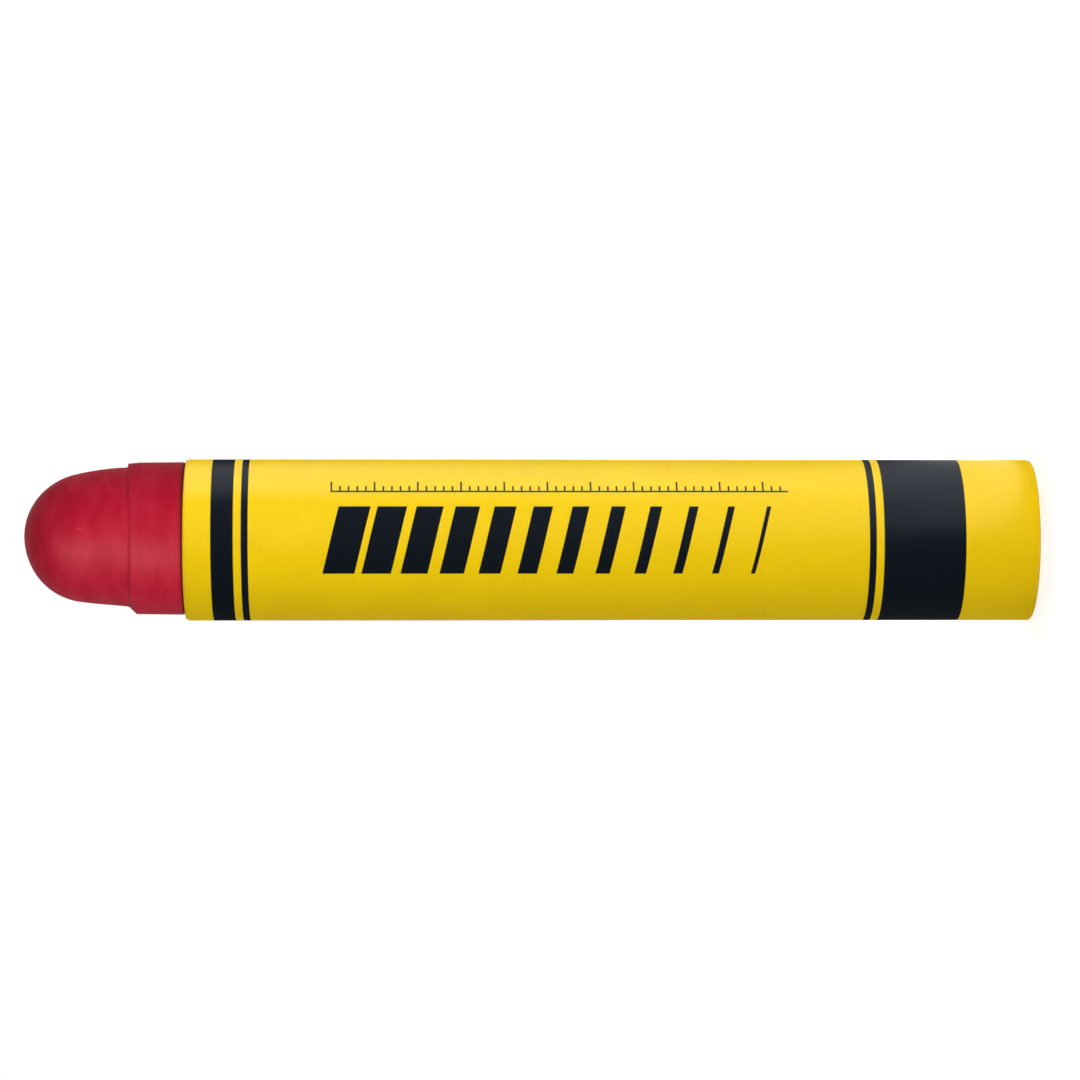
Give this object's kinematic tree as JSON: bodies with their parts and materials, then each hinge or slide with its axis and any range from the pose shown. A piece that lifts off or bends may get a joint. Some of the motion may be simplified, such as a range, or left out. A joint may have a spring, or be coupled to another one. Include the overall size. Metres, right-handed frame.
{
  "type": "paint stick",
  "caption": "Solid paint marker: a cast waxy paint stick with a domed nose, held in a rolled paper sleeve with a lapped, turned-in label, for marking by hand.",
  "frame": {"origin": "centre of the sleeve's rear rim, on the surface that the stick stands on", "axes": "+Z along the stick from the rear rim to the nose, -Y towards the label's printed front, +X the side that the nose sits off to"},
  "size_m": [0.0188, 0.0188, 0.1182],
  "materials": {
    "paint": "satin",
    "dried_skin": "satin",
    "kraft": "matte",
    "coated_label": "satin"
  },
  "bodies": {
    "root": {"paint_core": "paint", "nose_skin": "dried_skin", "tail_skin": "dried_skin", "kraft_tube": "kraft", "printed_label": "coated_label"}
  },
  "joints": []
}
